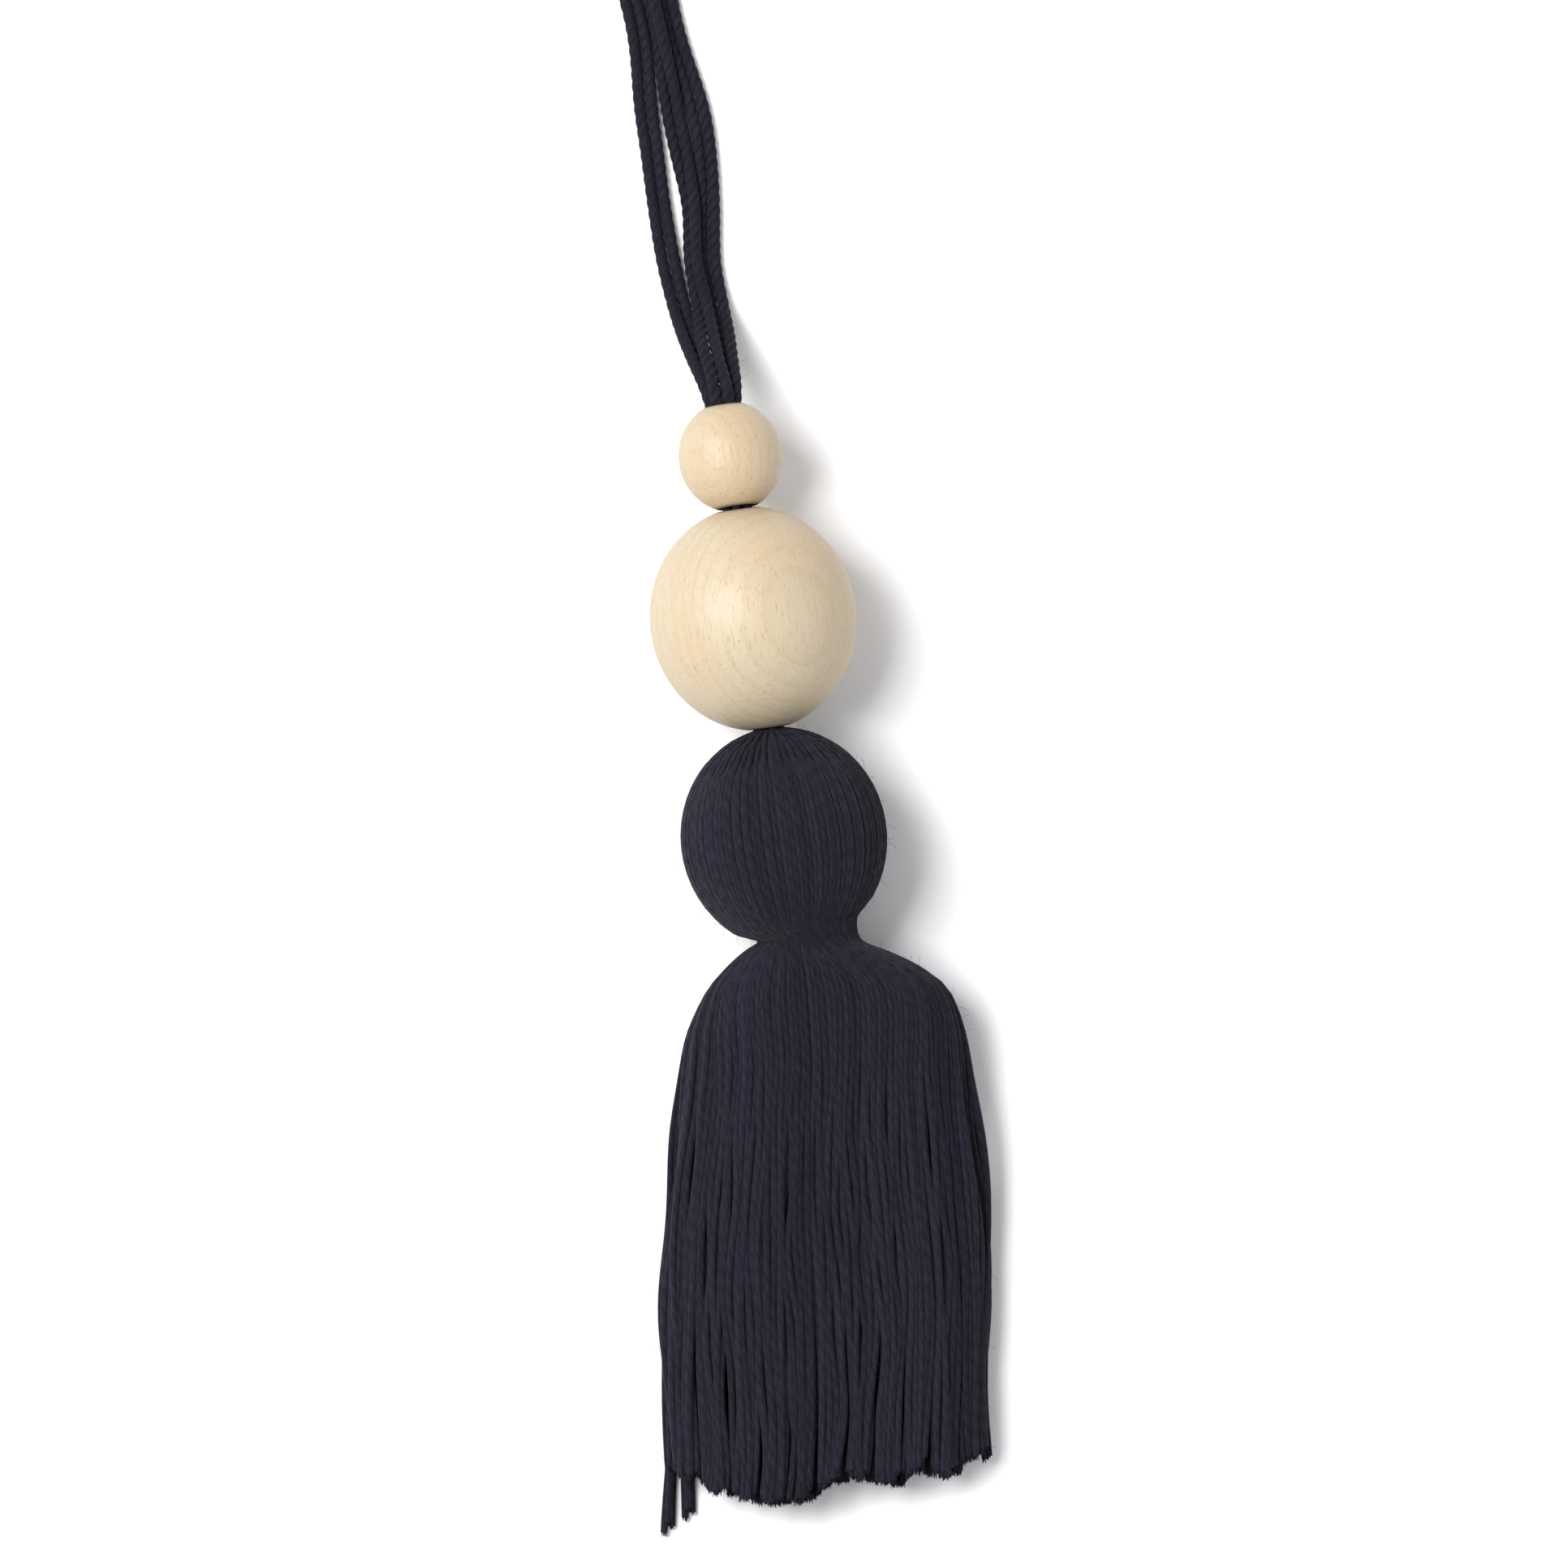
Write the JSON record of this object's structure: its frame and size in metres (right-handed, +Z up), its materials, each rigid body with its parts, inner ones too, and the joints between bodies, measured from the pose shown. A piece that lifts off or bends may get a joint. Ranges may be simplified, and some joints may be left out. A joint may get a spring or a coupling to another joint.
{
  "type": "tassel",
  "caption": "Yarn tassel with a ball head and flaring cut skirt, hung by looped threads through two pale wooden beads, lying flat",
  "frame": {"origin": "on the table, at the flat spot under the middle of the tassel's head", "axes": "+Y runs along the table to the hanging loop and the skirt's cut ends point to -Y, +X is to the right seen from above with the loop at the top, +Z is up from the table"},
  "size_m": [0.0542, 0.2142, 0.025],
  "materials": {
    "yarn": "matte spun yarn",
    "wood": "bare sanded wood"
  },
  "bodies": {
    "root": {"tassel": "yarn", "large_bead": "wood", "small_bead": "wood", "bead_threads": "yarn", "loop_inner": "yarn", "loop_middle": "yarn", "loop_outer": "yarn"}
  },
  "joints": []
}
